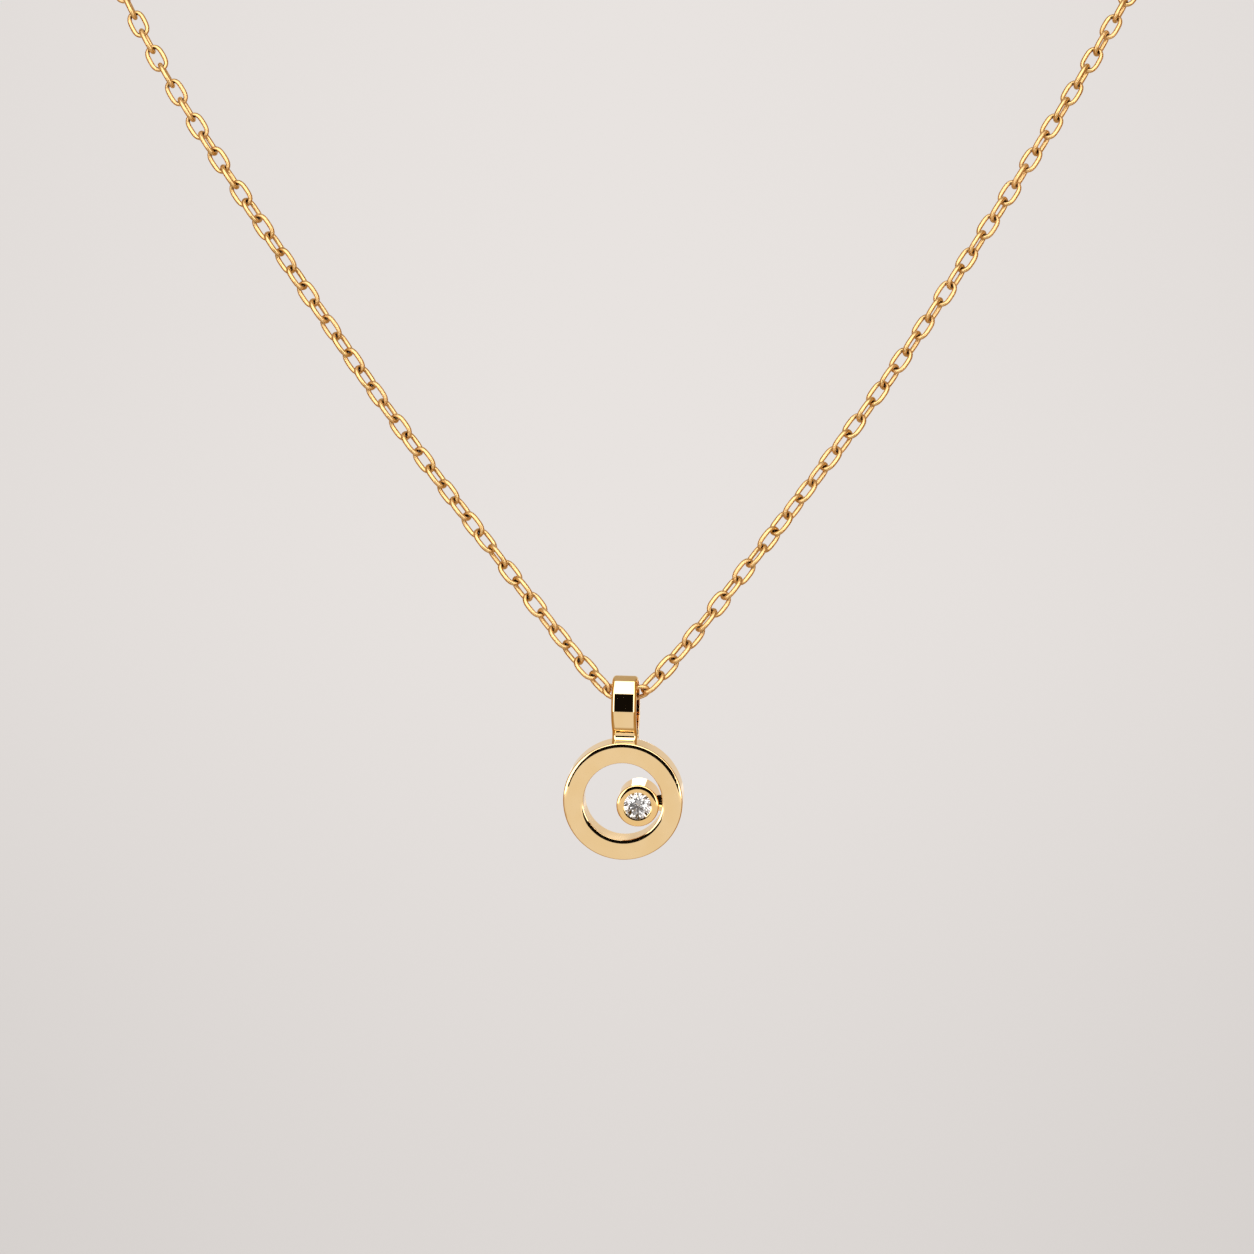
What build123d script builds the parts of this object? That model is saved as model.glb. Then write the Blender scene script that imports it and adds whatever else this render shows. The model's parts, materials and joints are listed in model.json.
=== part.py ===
from build123d import *
from math import cos, radians, sin, tan
import os

# Circle necklace, hanging as it is worn. Millimetres.
# The origin is at the nape, where the chain's back rests on the neck.
# +X is to the right of someone who looks at it from the front, +Y is backwards and +Z is up.
# Left and right in the names below are theirs as well.

# Ring, a flat circle that faces forwards.
# Its faces roll off a little before each edge, as polishing leaves them.
ring_radius = 5.52
ring_hole_radius = 3.64
ring_depth = 2.7
ring_outer_round = 0.14
ring_hole_round = 0.06
roll_radius = 0.85
roll_turn = 20.0

# Bezel cup inside the ring, standing a little proud of both faces.
# Its rim is level in the middle and rolls off to both edges.
bezel_radius = 1.96
bezel_proud = 0.2
bezel_gap = 0.26
bezel_direction = -13.5
bezel_front_round = 0.13
bezel_back_round = 0.1
bezel_rim_level = 0.21
bezel_rim_outer_radius = 0.8
bezel_rim_inner_radius = 0.35
bezel_rim_turn = 20.0
bezel_back_hole_radius = 0.95

# Solder between the bezel and the ring, a bead in front and a taller seam behind it
solder_sink = 0.15
bead_width = 0.42
bead_depth = 2.4
bead_direction = -8.0
seam_width = 1.1
seam_depth = 1.5
seam_direction = 5.0
seam_setback = 0.15
seam_lean = 10.0

# Stone, a round brilliant whose table is level with the rim
stone_radius = 1.35
stone_girdle = 0.06
stone_clearance = 0.04
stone_table_share = 0.57
stone_crown_angle = 34.5
stone_star_angle = 21.3
stone_star_reach = 1.285
stone_upper_half_angle = 41.0
stone_pavilion_angle = 40.75
stone_lower_half_angle = 41.94
stone_half_direction = 11.25

# Bail, an upright loop of flat strap soldered on the ring's top
bail_height = 6.07
bail_width = 2.34
bail_strap = 0.42
bail_offset = 0.17
bail_turn = -3.4
bail_outer_round = 0.34
bail_inner_round = 0.06
bail_sink = 0.35

# Half of the bail's side outline, from its top to its foot.
# Each row is an arc: its radius as a share of the bail's height, and its turn in degrees.
bail_arcs = [(0.18, 47.0), (0.463, 25.0), (0.98, 16.0), (0.494, 43.0)]
bail_flare_share = 0.09
bail_flare_turn = 100.0

# Chain of oval links
link_wire = 0.31
link_length = 2.74
link_width = 1.47
link_play = 0.2
link_pitch = link_length - 2 * link_wire - link_play

# How each side's links turn about the chain: share of the side's length, then degrees
left_turns = [
    (0.0, 48.0),
    (0.03, 52.0),
    (0.085, 52.0),
    (0.11, 84.0),
    (0.2, 91.0),
    (0.26, 103.0),
    (0.33, 134.0),
    (0.37, 143.0),
    (1.0, 180.0),
]
right_turns = [
    (0.0, -58.0),
    (0.01, -58.0),
    (0.05, -76.0),
    (0.095, -76.0),
    (0.115, -60.0),
    (0.2, -61.0),
    (0.37, -75.0),
    (1.0, 0.0),
]
loose_turns = [1.0, 0.0, -5.0, 3.0, 6.0, -3.0, -6.0]

# Clasp and end ring behind the neck
clasp_radius = 2.2
clasp_tube_radius = 0.5
clasp_eye_radius = 0.75
clasp_eye_wire = 0.4
end_ring_radius = 1.3
end_ring_wire = 0.44
catch_play = 0.12

# Where the pendant hangs
pendant_forward = 106.0
pendant_drop = 132.0
chain_in_bail = 9.64
chain_offset = 0.24
bail_joint_closing = 0.02
neck_centre_y = -54.0

# Worked out from the values above
clasp_y = link_width / 2
ring_centre = Vector(0, -pendant_forward, -pendant_drop)
chain_low = ring_centre + Vector(chain_offset, 0, chain_in_bail)
bezel_depth = ring_depth + 2 * bezel_proud
apex_beyond_joint = (link_wire + link_play) / 2

# Along the chain's line behind the neck, from the left side's last link to the right side's
eye_left_wire_x = apex_beyond_joint - (link_wire + clasp_eye_wire) / 2 - catch_play
eye_x = eye_left_wire_x + clasp_eye_radius
clasp_x = eye_x + clasp_eye_radius + clasp_tube_radius + clasp_radius
end_ring_left_wire_x = clasp_x + clasp_radius - clasp_tube_radius - end_ring_wire / 2 - catch_play
end_ring_x = end_ring_left_wire_x + end_ring_radius
right_apex_x = end_ring_x + end_ring_radius - (link_wire + end_ring_wire) / 2 - catch_play
catch_length = right_apex_x + apex_beyond_joint
catch_start = -catch_length / 2

# Each side's route, from the joint inside the bail up and round the neck.
# Each row is right, back and up from that joint, for a nape this far behind and above it.
route_back = 106.0
route_up = 122.36
left_points = [
    (-1.77, 0.0, 0.60),
    (-3.7, 0.9, 2.4),
    (-8.3, 3.1, 7.4),
    (-17.2, 7.3, 17.7),
    (-25.6, 11.2, 28.2),
    (-33.5, 14.8, 38.8),
    (-41.2, 18.4, 49.4),
    (-48.2, 23.1, 60.2),
    (-53.0, 30.0, 70.0),
    (-55.6, 41.5, 80.8),
    (-54.6, 58.5, 92.2),
    (-47.0, 81.5, 105.0),
    (-31.2, 99.0, 115.4),
    (-13.2, 106.0, 121.4),
]
right_points = [
    (1.79, 0.0, 0.66),
    (3.5, 0.9, 2.4),
    (7.9, 3.8, 7.5),
    (16.1, 9.3, 17.8),
    (23.9, 14.9, 28.1),
    (31.0, 20.5, 38.6),
    (37.9, 26.3, 49.1),
    (44.4, 32.8, 59.7),
    (49.6, 40.4, 69.5),
    (53.2, 51.7, 80.0),
    (53.3, 66.5, 91.4),
    (46.2, 85.0, 105.5),
    (30.8, 99.5, 115.4),
    (12.8, 106.0, 121.4),
]


def route_through(points, end_x):
    """The smooth line of one side, from the first joint outside the bail to the clasp."""
    back_scale = -chain_low.Y / route_back
    up_scale = -chain_low.Z / route_up
    stops = [chain_low + Vector(right, back * back_scale, up * up_scale) for right, back, up in points]
    with BuildLine() as route:
        Spline(*stops, Vector(end_x, clasp_y, 0))
    return route.line.edge()


def turn_at(share, turns):
    """The turn of the links at a share of the side's length."""
    for (share_a, turn_a), (share_b, turn_b) in zip(turns, turns[1:]):
        if share <= share_b:
            return turn_a + (turn_b - turn_a) * (share - share_a) / (share_b - share_a)
    return turns[-1][1]


def link_places(start_x, route, turns, first_turn):
    """A location for each link of one side, the first in the bail: middle, direction and turn."""
    along_route = 2 * round((route.length / link_pitch - 1) / 2) + 1
    joints = [chain_low + Vector(start_x, 0, 0)]
    for i in range(along_route + 1):
        joints.append(route.position_at(route.length * i / along_route, position_mode=PositionMode.LENGTH))
    count = along_route + 1
    places = []
    for i, (start, end) in enumerate(zip(joints, joints[1:])):
        middle = (start + end) / 2
        along = (end - start).normalized()
        outwards = Vector(middle.X, middle.Y - neck_centre_y, 0)
        face = outwards - along * outwards.dot(along)
        turn = first_turn + 90 * (i % 2) + turn_at((i + 0.5) / count, turns)
        turn += loose_turns[i % len(loose_turns)]
        face = face.rotate(Axis((0, 0, 0), along), turn)
        places.append(Plane(middle, x_dir=along, z_dir=face).location)
    return places


# One link: round wire along two straights and two half circles
straight = link_length - link_width
bend_radius = (link_width - link_wire) / 2
with BuildPart() as link:
    with BuildLine() as link_path:
        upper = Line((-straight / 2, bend_radius), (straight / 2, bend_radius))
        RadiusArc(upper @ 1, (straight / 2, -bend_radius), bend_radius)
        lower = Line((straight / 2, -bend_radius), (-straight / 2, -bend_radius))
        RadiusArc(lower @ 1, upper @ 0, bend_radius)
    with BuildSketch(Plane(upper @ 0, z_dir=upper % 0)):
        Circle(link_wire / 2)
    sweep()

# Chain, left and right
left_route = route_through(left_points, catch_start)
right_route = route_through(right_points, catch_start + catch_length)

with BuildPart() as chain_left:
    with Locations(*link_places(bail_joint_closing, left_route, left_turns, 0)):
        add(link.part)

with BuildPart() as chain_right:
    with Locations(*link_places(-bail_joint_closing, right_route, right_turns, 90)):
        add(link.part)


# Clasp, a spring ring with its eye, standing flat against the neck
with BuildPart() as clasp:
    with Locations((catch_start + eye_x, clasp_y, 0)):
        Torus(clasp_eye_radius, clasp_eye_wire / 2, rotation=(90, 0, 0))
    with Locations((catch_start + clasp_x, clasp_y, 0)):
        Torus(clasp_radius, clasp_tube_radius, rotation=(90, 0, 0))

# End ring, lying level through the clasp
with BuildPart() as end_ring:
    with Locations((catch_start + end_ring_x, clasp_y, 0)):
        Torus(end_ring_radius, end_ring_wire / 2)

# Stone, cut at the origin with its table up and its girdle's top at height 0
crown_height = stone_radius * (1 - stone_table_share) * tan(radians(stone_crown_angle))
pavilion_depth = stone_radius * tan(radians(stone_pavilion_angle))
half_reach = cos(radians(stone_half_direction))


def cut_facets(count, first, slope, reach, height, up):
    """Cuts a ring of facets on the stone in the open builder.

    Their planes meet the height at reach, a share of the radius, and slope away from it.
    """
    for i in range(count):
        direction = radians(first + 360 * i / count)
        lean = radians(slope)
        spot = Vector(cos(direction), sin(direction), 0) * stone_radius * reach
        outwards = Vector(sin(lean) * cos(direction), sin(lean) * sin(direction), up * cos(lean))
        split(bisect_by=Plane(spot + Vector(0, 0, height), z_dir=outwards), keep=Keep.BOTTOM)


with BuildPart() as brilliant:
    with BuildSketch(Plane.XY.offset(-stone_girdle - pavilion_depth)):
        Circle(stone_radius)
    extrude(amount=pavilion_depth + stone_girdle + crown_height)
    # Crown: kites, then the stars round the table, then the upper halves
    cut_facets(8, 0.0, stone_crown_angle, 1.0, 0, 1)
    cut_facets(8, 2 * stone_half_direction, stone_star_angle, stone_star_reach, 0, 1)
    cut_facets(16, stone_half_direction, stone_upper_half_angle, half_reach, 0, 1)
    # Pavilion: mains, then the lower halves
    cut_facets(8, 0.0, stone_pavilion_angle, 1.0, -stone_girdle, -1)
    cut_facets(16, stone_half_direction, stone_lower_half_angle, half_reach, -stone_girdle, -1)

# Bezel cup, turned about its own axis at the origin with its rim up
rim_z = bezel_depth / 2
rim_lean = radians(bezel_rim_turn)
front_round_z = rim_z - bezel_front_round * cos(rim_lean) - bezel_rim_outer_radius * (1 - cos(rim_lean))
rim_reach = bezel_rim_level + (bezel_rim_outer_radius + bezel_rim_inner_radius) * sin(rim_lean)
lip_radius = bezel_radius - bezel_front_round * (1 - sin(rim_lean)) - rim_reach
girdle_z = rim_z - crown_height
seat_radius = stone_radius + stone_clearance
lip_z = girdle_z + (seat_radius - lip_radius) * tan(radians(stone_crown_angle)) + 2 * stone_clearance
seat_z = girdle_z - stone_girdle - stone_clearance
seat_drop = (seat_radius - bezel_back_hole_radius) * tan(radians(stone_pavilion_angle))
with BuildPart() as bezel:
    with BuildSketch(Plane.XZ) as bezel_section:
        with BuildLine():
            outer_edge = JernArc((bezel_radius, front_round_z), (0, 1), bezel_front_round, 90 - bezel_rim_turn)
            outer_roll = JernArc(outer_edge @ 1, outer_edge % 1, bezel_rim_outer_radius, bezel_rim_turn)
            rim = Line(outer_roll @ 1, (outer_roll @ 1) - (bezel_rim_level, 0))
            inner_roll = JernArc(rim @ 1, (-1, 0), bezel_rim_inner_radius, bezel_rim_turn)
            Polyline(
                inner_roll @ 1,
                (lip_radius, lip_z),
                (seat_radius, girdle_z + stone_clearance),
                (seat_radius, seat_z),
                (bezel_back_hole_radius, seat_z - seat_drop - stone_clearance),
                (bezel_back_hole_radius, -rim_z),
                (bezel_radius, -rim_z),
                outer_edge @ 0,
            )
        make_face()
        outer_corners = bezel_section.vertices().group_by(Axis.X)[-1].sort_by(Axis.Y)
        fillet(outer_corners[0], bezel_back_round)
    revolve(axis=Axis.Z)

# Ring, turned about its own axis at the origin: the front half of its section, then its mirror
face_z = ring_depth / 2
roll_lean = radians(roll_turn)
roll_reach = roll_radius * sin(roll_lean)
face_outer = ring_radius - ring_outer_round * (1 - sin(roll_lean)) - roll_reach
face_inner = ring_hole_radius + ring_hole_round * (1 - sin(roll_lean)) + roll_reach
with BuildPart() as ring:
    with BuildSketch(Plane.XZ):
        with BuildLine():
            face = Line((face_inner, face_z), (face_outer, face_z))
            roll = JernArc(face @ 1, (1, 0), roll_radius, -roll_turn)
            edge = JernArc(roll @ 1, roll % 1, ring_outer_round, roll_turn - 90)
            Line(edge @ 1, (ring_radius, 0))
            roll = JernArc(face @ 0, (-1, 0), roll_radius, roll_turn)
            edge = JernArc(roll @ 1, roll % 1, ring_hole_round, 90 - roll_turn)
            Line(edge @ 1, (ring_hole_radius, 0))
            mirror(about=Plane.XZ)
        make_face()
    revolve(axis=Axis.Z)

# Bail, seen from the side: forwards is the sketch's left, up is its top
bail_top = ring_radius + bail_height
foot_inner_turn = sum(turn for share, turn in bail_arcs) - 90


def bail_half(start_height, inset):
    """Half of the bail's outline as tangent arcs in the open line, from the top down the front."""
    path = JernArc((0, start_height), (-1, 0), bail_arcs[0][0] * bail_height - inset, bail_arcs[0][1])
    for share, turn in bail_arcs[1:]:
        path = JernArc(path @ 1, path % 1, share * bail_height - inset, turn)
    return path


with BuildPart() as bail:
    with BuildSketch(Plane.YZ):
        with BuildLine():
            side = bail_half(bail_top, 0)
            flare = JernArc(side @ 1, side % 1, bail_flare_share * bail_height, -bail_flare_turn)
            foot = Line(flare @ 1, ((flare @ 1).X, ring_radius - bail_sink))
            Line(foot @ 1, (0, ring_radius - bail_sink))
            mirror(about=Plane.YZ)
        make_face()
        with BuildLine():
            side = bail_half(bail_top - bail_strap, bail_strap)
            flare = JernArc(side @ 1, side % 1, bail_flare_share * bail_height + bail_strap, -foot_inner_turn)
            JernArc(flare @ 1, flare % 1, -(flare @ 1).X, 90)
            mirror(about=Plane.YZ)
        make_face(mode=Mode.SUBTRACT)
    extrude(amount=bail_width / 2, both=True)

    sides = bail.faces().filter_by(Axis.X)
    outer_edges = ShapeList(edge for side_face in sides for edge in side_face.outer_wire().edges())
    fillet(outer_edges.filter_by(lambda edge: edge.center().Z > ring_radius - bail_sink), bail_outer_round)
    sides = bail.faces().filter_by(Axis.X)
    inner_edges = ShapeList(edge for side_face in sides for wire in side_face.inner_wires()
                            for edge in wire.edges())
    fillet(inner_edges, bail_inner_round)

# Pendant: ring, bail and bezel soldered together
bezel_reach = ring_hole_radius - bezel_gap - bezel_radius
bezel_centre = Vector(bezel_reach, 0, 0).rotate(Axis.Y, -bezel_direction)
facing_forwards = (90, 0, 0)
in_gap = Vector(bezel_radius + bezel_gap / 2, 0, 0)
bead_spot = bezel_centre + in_gap.rotate(Axis.Y, -bead_direction)
seam_spot = bezel_centre + in_gap.rotate(Axis.Y, -seam_direction) + Vector(0, seam_setback, 0)
with BuildPart() as pendant:
    with Locations(ring_centre):
        with Locations(Location((0, 0, 0), facing_forwards)):
            add(ring.part)
        with Locations(Location((bail_offset, 0, 0), (0, 0, bail_turn))):
            add(bail.part)
        with Locations(Location(bezel_centre, facing_forwards)):
            add(bezel.part)
        with Locations(Location(bead_spot, (0, -bead_direction, 0))):
            Box(bezel_gap + 2 * solder_sink, bead_depth, bead_width)
        with Locations(Location(seam_spot, (-seam_lean, -seam_direction, 0))):
            Box(bezel_gap + 4 * solder_sink, seam_depth, seam_width)

# Stone in the bezel
with BuildPart() as stone:
    with Locations(ring_centre):
        with Locations(Location(bezel_centre, facing_forwards)):
            with Locations((0, 0, girdle_z)):
                add(brilliant.part)

# One file for each piece, named as the piece
os.makedirs("parts", exist_ok=True)

chain_left.part.label = "chain_left"
chain_right.part.label = "chain_right"
clasp.part.label = "clasp"
end_ring.part.label = "end_ring"
pendant.part.label = "pendant"
stone.part.label = "stone"

export_step(chain_left.part, "parts/chain_left.step")
export_step(chain_right.part, "parts/chain_right.step")
export_step(clasp.part, "parts/clasp.step")
export_step(end_ring.part, "parts/end_ring.step")
export_step(pendant.part, "parts/pendant.step")
export_step(stone.part, "parts/stone.step")

print("links left and right", len(chain_left.part.solids()), len(chain_right.part.solids()))
print("length of the whole loop", round(left_route.length + right_route.length + catch_length, 1))
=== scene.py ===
import json
from math import cos, pi, radians, sin, tan

import bmesh
import bpy
import numpy as np
from mathutils import Matrix, Vector


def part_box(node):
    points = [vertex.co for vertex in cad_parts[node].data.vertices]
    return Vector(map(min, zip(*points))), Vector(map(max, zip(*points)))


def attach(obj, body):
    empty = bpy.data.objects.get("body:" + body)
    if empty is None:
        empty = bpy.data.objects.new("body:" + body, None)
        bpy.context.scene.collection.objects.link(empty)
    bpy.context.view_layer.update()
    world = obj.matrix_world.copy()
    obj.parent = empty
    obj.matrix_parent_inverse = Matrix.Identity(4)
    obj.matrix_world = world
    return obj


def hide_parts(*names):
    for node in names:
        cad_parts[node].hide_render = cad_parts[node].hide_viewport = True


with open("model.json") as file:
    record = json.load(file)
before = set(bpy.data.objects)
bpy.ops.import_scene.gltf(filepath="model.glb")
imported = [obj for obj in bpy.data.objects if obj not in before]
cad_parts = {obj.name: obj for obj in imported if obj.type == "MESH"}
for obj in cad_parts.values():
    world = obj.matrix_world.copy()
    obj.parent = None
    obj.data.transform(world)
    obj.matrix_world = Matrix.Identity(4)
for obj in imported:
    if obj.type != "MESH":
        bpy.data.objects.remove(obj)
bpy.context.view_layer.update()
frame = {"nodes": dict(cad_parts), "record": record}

mm = 0.001

# From the frame: the middles of the ring and the bezel, and what the pendant swings round in its bail
ring_low, ring_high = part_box("pendant")
ring_radius = 5.52 * mm
ring_centre = Vector((0, (ring_low.y + ring_high.y) / 2, ring_low.z + ring_radius))
stone_low, stone_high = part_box("stone")
bezel_centre = (stone_low + stone_high) / 2
swing_centre = Vector(frame["record"]["behaviour"]["joints"][0]["pos_m"])

# Camera: how it looks at the ring, as in the photograph
camera_elevation = radians(12.2)
camera_azimuth = radians(4.0)
camera_distance = 700 * mm
ring_right_of_view = -0.304 * mm
ring_below_view = 15.8 * mm
picture_size = 1254
focal_pixels = 7595
sensor = 36.0
nearest_seen = 0.01
furthest_seen = 100

# Chain links: smoothing shrinks a wire of wire_sides flats, so it is made stouter by as much
wire_radius = 0.238 * mm
link_length = 2.92 * mm
link_width = 1.82 * mm
wire_sides = 6
bend_steps = 5
smoothing_shrink = 0.87
merge_distance = 0.001 * mm

# The link inside the bail is slimmer than the others by this, which leaves the pendant room to swing
bail_link_scale = 0.93

# Polish: noise scales of the cloudy wiping marks and of the fine grain. The marks change the roughness from
# plain_share of it to cloud_share more, and the grain adds grain_roughness.
cloud_scale = 420.0
cloud_detail = 3.0
grain_scale = 9000.0
grain_detail = 2.0
tone_range = (0.3, 0.7)
plain_share = 0.8
cloud_share = 0.4
grain_roughness = 0.01

# Gold of the pendant: each colour is a pair that the wiping marks change between
ring_gold = ((0.965, 0.705, 0.36, 1.0), (0.985, 0.74, 0.405, 1.0))
cup_gold = ((0.97, 0.66, 0.28, 1.0), (0.985, 0.68, 0.31, 1.0))
pendant_roughness = 0.04
satin_roughness = 0.15
hole_wall_from = (3.45 * mm, 3.5 * mm)
hole_wall_to = (3.66 * mm, 3.7 * mm)
cup_edge = (2.0 * mm, 2.05 * mm)

# Gold of the chain, and the painted shade that darkens a link's recess: its colour and how much of the
# recess it covers
link_gold = ((0.77, 0.512, 0.22, 1.0), (0.83, 0.562, 0.27, 1.0))
link_roughness = 0.4
painted_recess_shade = (0.05, 0.015, 0.003, 1.0)
recess_shade_range = (0.2, 0.8)
recess_shade_growth = 2

# Stone
stone_clear = ((0.62, 0.62, 0.63, 1.0), (0.66, 0.66, 0.66, 1.0))
stone_cloud_scale = 900.0
stone_cloud_detail = 1.0
stone_refraction = 2.417

# Floor, and the painted shade that dims it towards the sides of the view and towards the front
floor_drop = 350 * mm
floor_front = 1250 * mm
floor_reach = 9.0
pale = (0.807, 0.768, 0.745, 1.0)
shaded_pale = (0.605, 0.572, 0.552, 1.0)
side_dimming = 0.42
side_dimming_range = (0.0, 0.16)
front_dimming = 0.53
front_dimming_range = (0.2, 1.1)

# Small lamp behind the pendant, which the bezel's wall mirrors: its middle from the ring's, and its size
lamp_from_ring = Vector((0.44, 20.0, 5.3)) * mm
lamp_width = 7.1 * mm
lamp_height = 3.2 * mm
lamp_brightness = 2.8

# Studio that the metal mirrors. Heights are sines of the angle above level, and sides are sines of the
# angle off straight ahead or behind. A pair is where one part of the studio starts to give way to the
# next and where it has done so. Here are the dark opening in front and its soft edges.
dark_low = -0.174
dark_high = 0.39
dark_side = 0.375
dark_edge = 0.006
dark_side_edge = 0.02

# The bright light on both sides of the opening and above it, and the dark gap over that light
light_high = 0.94
light_edge = 0.012
light_sides = (0.74, 0.82)
gap_high = 0.962

# Where behind gives way to in front
front_edge = (-0.03, 0.03)

# The room and the floor behind those, and the warm walls at the far left and right
room_heights = (0.12, 0.4)
bright_floor_heights = (-0.23, -0.185)
light_floor_heights = (-0.45, -0.25)
light_floor_ahead_heights = (-0.98, -0.92)
light_floor_ahead_sides = (0.45, 0.6)
wall_sides = (0.5, 0.7)

# Colours of the studio, where 1 is white paper
bright = (2.8, 2.75, 2.7, 1.0)
white = (1.0, 1.0, 1.0, 1.0)
dark = (0.006, 0.005, 0.004, 1.0)
low_room = (0.78, 0.70, 0.60, 1.0)
high_room = (0.52, 0.44, 0.345, 1.0)
bright_floor = (1.05, 0.99, 0.94, 1.0)
light_floor = (0.83, 0.79, 0.765, 1.0)
brown_floor = (0.50, 0.36, 0.20, 1.0)
warm_wall = (0.42, 0.24, 0.08, 1.0)

# Added to a length that is 0 straight up and down, so that it can be divided by
tiny = 0.0001


class Value:
    """A socket of a shader tree that takes part in Python expressions."""

    def __init__(self, tree, socket=None):
        self.tree = tree
        self.socket = socket

    def add(self, kind, settings=None, inputs=None, output=0):
        """Adds a node to the tree, with its settings first and then its sockets."""
        node = self.tree.nodes.new(kind)
        for name, setting in (settings or {}).items():
            setattr(node, name, setting)
        for name, given in (inputs or {}).items():
            if isinstance(given, Value):
                self.tree.links.new(given.socket, node.inputs[name])
            else:
                node.inputs[name].default_value = given
        return Value(self.tree, node.outputs[output] if node.outputs else None)

    def parts(self, names):
        """The parts of a vector that are named, such as XZ."""
        outputs = self.add("ShaderNodeSeparateXYZ", {}, {0: self}).socket.node.outputs
        return [Value(self.tree, outputs[name]) for name in names]

    def maths(self, operation, *others):
        """A Math node whose first value is this one."""
        return self.add("ShaderNodeMath", {"operation": operation}, dict(enumerate((self, *others))))

    def __add__(self, other):
        return self.maths("ADD", other)

    __radd__ = __add__

    def __sub__(self, other):
        return self.maths("SUBTRACT", other)

    def __rsub__(self, other):
        return self.add("ShaderNodeMath", {"operation": "SUBTRACT"}, {0: other, 1: self})

    def __mul__(self, other):
        return self.maths("MULTIPLY", other)

    __rmul__ = __mul__

    def __truediv__(self, other):
        return self.maths("DIVIDE", other)

    def __abs__(self):
        return self.maths("ABSOLUTE")

    def rise(self, low, high):
        """0 up to low, 1 from high, and a smooth rise between them."""
        settings = {"interpolation_type": "SMOOTHSTEP"}
        return self.add("ShaderNodeMapRange", settings, {0: self, 1: low, 2: high})

    def between(self, low, high, edge):
        """1 between low and high and 0 beyond them, with soft edges."""
        return self.rise(low - edge, low + edge) * (1 - self.rise(high - edge, high + edge))

    def mix(self, first, second):
        """The colour first where this is 0, second where it is 1."""
        colours = {0: self, 6: first, 7: second}
        return self.add("ShaderNodeMix", {"data_type": "RGBA"}, colours, output=2)


def new_material(name):
    """An empty material, and the value that its nodes are added with."""
    material = bpy.data.materials.new(name)
    material.use_nodes = True
    tree = material.node_tree
    tree.nodes.clear()
    return material, Value(tree)


def finish_material(start, **sockets):
    """Ends a material with one Principled shader."""
    names = {name.replace("_", " "): given for name, given in sockets.items()}
    surface = start.add("ShaderNodeBsdfPrincipled", {}, names)
    start.add("ShaderNodeOutputMaterial", {}, {"Surface": surface})


def noise(start, place, scale, detail):
    """Cloudy noise at the place given."""
    return start.add("ShaderNodeTexNoise", {}, {"Vector": place, "Scale": scale, "Detail": detail})


def polished(start, roughness):
    """Faint cloudy wiping marks on polished metal: their place, tone and roughness."""
    place = start.add("ShaderNodeTexCoord", output="Object")
    clouds = noise(start, place, cloud_scale, cloud_detail)
    grain = noise(start, place, grain_scale, grain_detail)
    tone = clouds.rise(*tone_range)
    marked = roughness * (plain_share + cloud_share * tone)
    return place, tone, marked + grain_roughness * grain


def pendant_gold():
    """Polished yellow gold, deeper on the bezel cup and satin on the wall of the ring's hole."""
    material, start = new_material("pendant_gold")
    place, tone, rough = polished(start, pendant_roughness)
    x, z = place.parts("XZ")

    def away_from(centre):
        across, up = x - centre.x, z - centre.z
        return (across * across + up * up).maths("SQRT")

    from_ring = away_from(ring_centre)
    wall = from_ring.rise(*hole_wall_from) * (1 - from_ring.rise(*hole_wall_to))
    cup = 1 - away_from(bezel_centre).rise(*cup_edge)
    colour = cup.mix(tone.mix(*ring_gold), tone.mix(*cup_gold))
    rough += satin_roughness * wall
    finish_material(start, Base_Color=colour, Metallic=1.0, Roughness=rough)
    return material


def chain_gold():
    """Yellow gold with a softer polish, and painted shade darkening the recesses of the links' ends."""
    material, start = new_material("chain_gold")
    tone, rough = polished(start, link_roughness)[1:]
    recess_shade = start.add("ShaderNodeAttribute", {"attribute_name": "recess_shade"}, output="Fac")
    # Painted shade: the recesses of the links' ends, where the links cross, turn dark brown
    colour = recess_shade.rise(*recess_shade_range).mix(tone.mix(*link_gold), painted_recess_shade)
    finish_material(start, Base_Color=colour, Metallic=1.0, Roughness=rough)
    return material


def clear_stone():
    """A clear cut stone of high refraction."""
    material, start = new_material("clear_stone")
    place = start.add("ShaderNodeTexCoord", output="Object")
    tone = noise(start, place, stone_cloud_scale, stone_cloud_detail).rise(*tone_range)
    finish_material(start, Base_Color=tone.mix(*stone_clear), Roughness=0.0,
                    IOR=stone_refraction, Transmission_Weight=1.0)
    return material


def pale_floor():
    """A plain pale floor, with painted shade that makes it a little dimmer towards the sides and in the
    near foreground.
    """
    material, start = new_material("pale_floor")
    x, y = start.add("ShaderNodeTexCoord", output="Object").parts("XY")
    behind_ring = y - ring_centre.y
    aside = (x + tan(camera_azimuth) * behind_ring) / (abs(behind_ring) + camera_distance)
    dimmer_aside = side_dimming * abs(aside).rise(*side_dimming_range)
    dimmer_in_front = front_dimming * (1 - y.rise(*front_dimming_range))
    # Painted shade: the floor's colour goes from pale to shaded_pale towards the sides and the front
    colour = (dimmer_aside + dimmer_in_front).mix(pale, shaded_pale)
    finish_material(start, Base_Color=colour, Roughness=1.0, Specular_IOR_Level=0.0)
    return material


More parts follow.
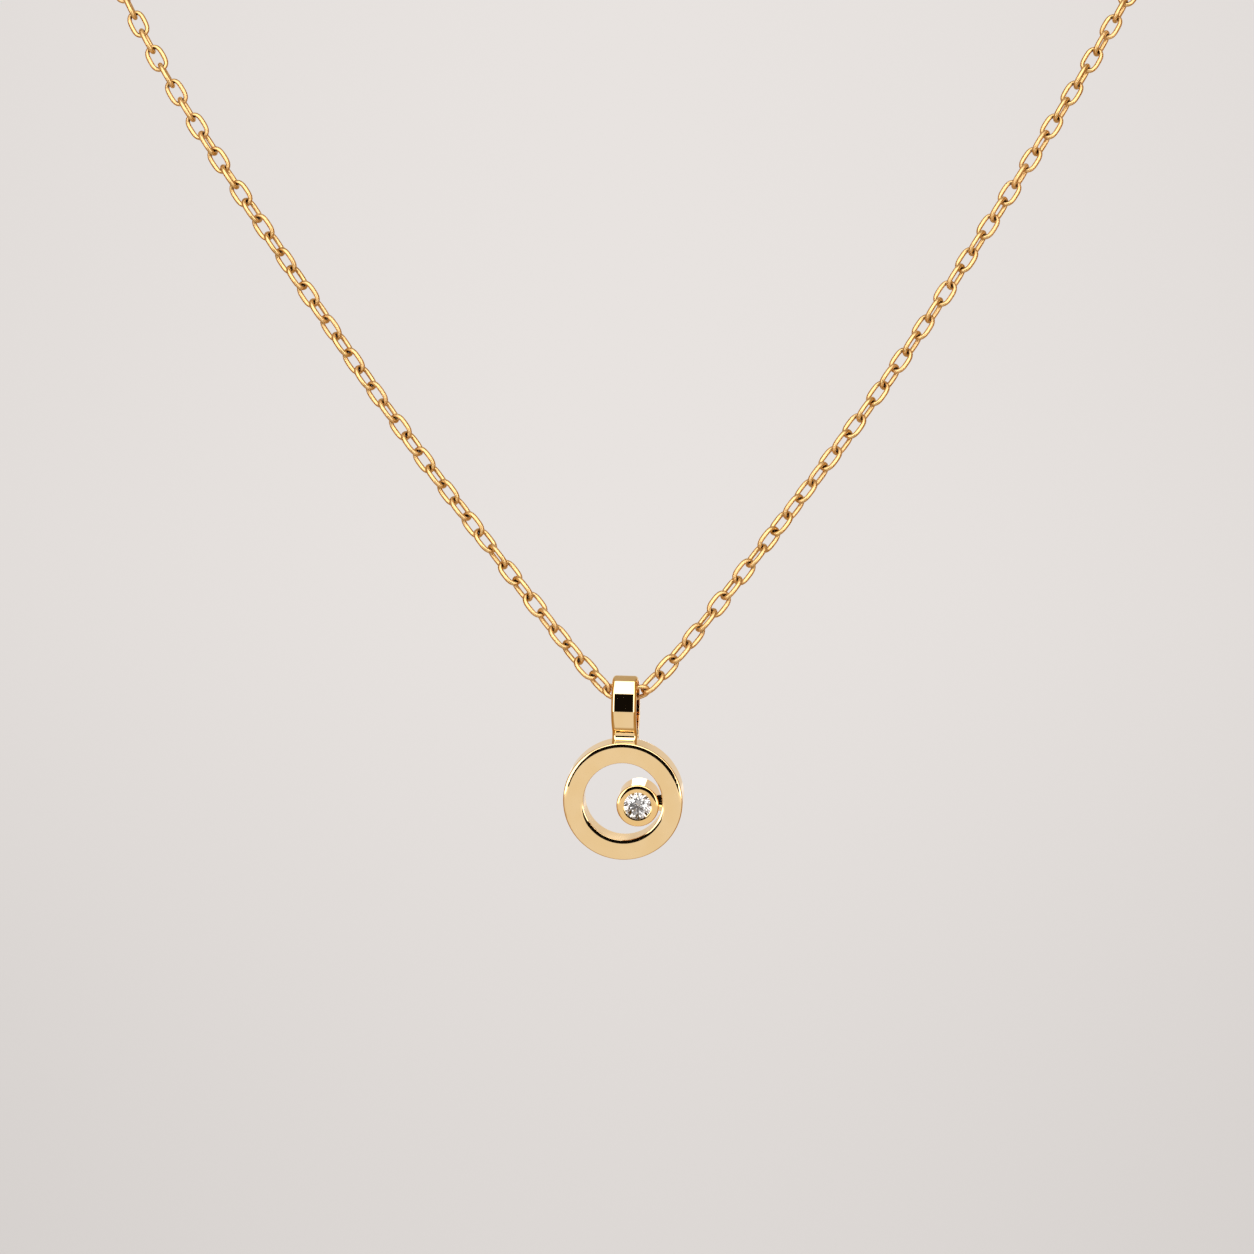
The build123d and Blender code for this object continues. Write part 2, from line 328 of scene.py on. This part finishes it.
def studio_light():
    """The soft light all round, as the polished metal shows it."""
    world = bpy.data.worlds.new("studio")
    bpy.context.scene.world = world
    world.use_nodes = True
    world.cycles.sampling_method = "NONE"
    world.node_tree.nodes.clear()
    start = Value(world.node_tree)
    x, y, z = start.add("ShaderNodeTexCoord", output="Generated").parts("XYZ")
    level = (x * x + y * y).maths("SQRT")
    side = abs(x) / (level + tiny)
    front = (0 - y).rise(*front_edge)

    # Room and floor, with the floor pale far out and, in front, a part of it nearer by too
    room = z.rise(*room_heights).mix(low_room, high_room)
    ahead = front * (1 - side.rise(*light_floor_ahead_sides)) * z.rise(*light_floor_ahead_heights)
    light_part = ahead.maths("MAXIMUM", z.rise(*light_floor_heights))
    near_floor = light_part.mix(brown_floor, light_floor)
    floor = z.rise(*bright_floor_heights).mix(near_floor, bright_floor)
    ahead_and_behind = z.rise(dark_low - dark_edge, dark_low + dark_edge).mix(floor, room)
    surroundings = abs(x).rise(*wall_sides).mix(ahead_and_behind, warm_wall)

    # The bright light over them, and the dark opening and gap over that
    light = front * (1 - side.rise(*light_sides)) * z.between(dark_low, light_high, light_edge)
    lit = light.mix(surroundings, bright)
    opening_width = 1 - side.rise(dark_side - dark_side_edge, dark_side + dark_side_edge)
    opening = front * opening_width * z.between(dark_low, dark_high, dark_edge)
    gap = front * z.between(light_high, gap_high, light_edge)
    mirrored = opening.maths("MAXIMUM", gap).mix(lit, dark)

    # What the camera sees is plain, and what lights the floor is even
    rays = start.add("ShaderNodeLightPath").socket.node.outputs
    seen = Value(world.node_tree, rays["Is Camera Ray"])
    spread = Value(world.node_tree, rays["Is Diffuse Ray"])
    shown = seen.mix(spread.mix(mirrored, white), pale)
    background = start.add("ShaderNodeBackground", {}, {"Color": shown, "Strength": 1.0})
    start.add("ShaderNodeOutputWorld", {}, {"Surface": background})


def add_lamp():
    """The small lamp behind the pendant."""
    data = bpy.data.lights.new("lamp", "AREA")
    data.shape = "RECTANGLE"
    data.size = lamp_width
    data.size_y = lamp_height
    data.energy = lamp_brightness * pi * lamp_width * lamp_height
    lamp = bpy.data.objects.new("lamp", data)
    lamp.location = ring_centre + lamp_from_ring
    lamp.rotation_euler = (-pi / 2, 0, 0)
    lamp.visible_camera = False
    bpy.context.collection.objects.link(lamp)


def add_camera():
    """The camera at the photograph's viewing angle."""
    forwards = Vector((-sin(camera_azimuth) * cos(camera_elevation),
                       cos(camera_azimuth) * cos(camera_elevation), -sin(camera_elevation)))
    right = Vector((cos(camera_azimuth), sin(camera_azimuth), 0))
    up = right.cross(forwards)
    to_ring = forwards * camera_distance + right * ring_right_of_view - up * ring_below_view
    data = bpy.data.cameras.new("camera")
    data.sensor_width = sensor
    data.lens = focal_pixels / picture_size * sensor
    data.clip_start = nearest_seen
    data.clip_end = furthest_seen
    camera = bpy.data.objects.new("camera", data)
    camera.location = ring_centre - to_ring
    camera.rotation_mode = "QUATERNION"
    camera.rotation_quaternion = forwards.to_track_quat("-Z", "Y")
    bpy.context.collection.objects.link(camera)
    bpy.context.scene.camera = camera


def new_piece(name, bm, material, smooth=True):
    """An object from a bmesh, linked to the scene, with one material."""
    mesh = bpy.data.meshes.new(name)
    bm.to_mesh(mesh)
    bm.free()
    for face in mesh.polygons:
        face.use_smooth = smooth
    mesh.materials.append(material)
    piece = bpy.data.objects.new(name, mesh)
    bpy.context.collection.objects.link(piece)
    return piece


def add_floor(material):
    """The floor, under the necklace and far out behind it."""
    bm = bmesh.new()
    bmesh.ops.create_grid(bm, x_segments=1, y_segments=1, size=1.0)
    for corner in bm.verts:
        corner.co = Vector((-floor_reach if corner.co.x < 0 else floor_reach,
                            -floor_front if corner.co.y < 0 else floor_reach, -floor_drop))
    floor = new_piece("floor", bm, material, smooth=False)
    floor.visible_glossy = False


def one_link():
    """One oval link round the origin, along X with its face up."""
    bend = link_width / 2 - wire_radius
    reach = link_length / 2 - link_width / 2
    radius = wire_radius / smoothing_shrink

    # Round the link: where each section of the wire turns about, and its direction from there
    half_turn = [pi / 2 - pi * step / bend_steps for step in range(bend_steps + 1)]
    sections = [(0, pi / 2)] + [(reach, angle) for angle in half_turn]
    sections += [(0, -pi / 2)] + [(-reach, angle - pi) for angle in half_turn]
    corners = []
    for middle, angle in sections:
        for side in range(wire_sides):
            around = 2 * pi * side / wire_sides
            out = bend + radius * cos(around)
            corners.append((middle + out * cos(angle), out * sin(angle), radius * sin(around)))
    faces = []
    for start in range(0, len(corners), wire_sides):
        after = (start + wire_sides) % len(corners)
        for side in range(wire_sides):
            beside = (side + 1) % wire_sides
            faces.append((start + side, start + beside, after + beside, after + side))
    mesh = bpy.data.meshes.new("one_link")
    mesh.from_pydata(corners, [], faces)

    # How deep in the recess of the link's end each corner is, for the painted shade there
    places = np.array([corner.co[:] for corner in mesh.vertices])
    beyond = np.maximum(abs(places[:, 0]) - reach, 0)
    inwards = (bend - np.hypot(beyond, places[:, 1])) / wire_radius
    recess_shade = np.clip(inwards, 0, 1) * np.clip(recess_shade_growth * beyond / bend, 0, 1)
    mesh.attributes.new("recess_shade", "FLOAT", "POINT").data.foreach_set("value", recess_shade)
    return mesh


def link_places(node):
    """The place of each link of a chain in the frame: its middle, length and face."""
    bm = bmesh.new()
    bm.from_mesh(frame["nodes"][node].data)
    bmesh.ops.remove_doubles(bm, verts=bm.verts[:], dist=merge_distance)
    places = []
    left = set(bm.verts)
    for start in bm.verts:
        if start not in left:
            continue
        left.remove(start)
        todo = [start]
        corners = []
        while todo:
            corner = todo.pop()
            corners.append(corner.co[:])
            for edge in corner.link_edges:
                other = edge.other_vert(corner)
                if other in left:
                    left.remove(other)
                    todo.append(other)
        corners = np.array(corners)
        middle = (corners.max(axis=0) + corners.min(axis=0)) / 2
        spread = (corners - middle).T @ (corners - middle)
        directions = np.linalg.eigh(spread)[1]
        along, face = Vector(directions[:, 2]), Vector(directions[:, 0])
        turn = Matrix((along, face.cross(along), face)).transposed().to_4x4()
        places.append(Matrix.Translation(middle) @ turn)
    bm.free()
    return places


def add_chain(node, link, material):
    """Smooth links in place of a chain of the frame, the one inside the bail slimmer."""
    places = link_places(node)
    first = min(places, key=lambda place: (place.translation - swing_centre).length)
    bm = bmesh.new()
    for place in places:
        slim = bail_link_scale if place is first else 1
        shape = place @ Matrix.Diagonal((1, slim, slim, 1))
        before = len(bm.verts)
        bm.from_mesh(link)
        bm.verts.ensure_lookup_table()
        bmesh.ops.transform(bm, matrix=shape, verts=bm.verts[before:])
    chain = new_piece(node + "_links", bm, material)
    rounding = chain.modifiers.new("rounding", "SUBSURF")
    rounding.levels = 1
    rounding.render_levels = 1
    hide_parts(node)
    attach(chain, "chain")


def finish_node(node, material):
    """Gives a piece of the frame its material."""
    slots = frame["nodes"][node].data.materials
    slots.clear()
    slots.append(material)


bpy.context.scene.view_settings.view_transform = "Standard"
add_camera()
studio_light()
add_lamp()
add_floor(pale_floor())

gold = chain_gold()
link = one_link()
add_chain("chain_left", link, gold)
add_chain("chain_right", link, gold)
finish_node("clasp", gold)
finish_node("end_ring", gold)
finish_node("pendant", pendant_gold())
finish_node("stone", clear_stone())
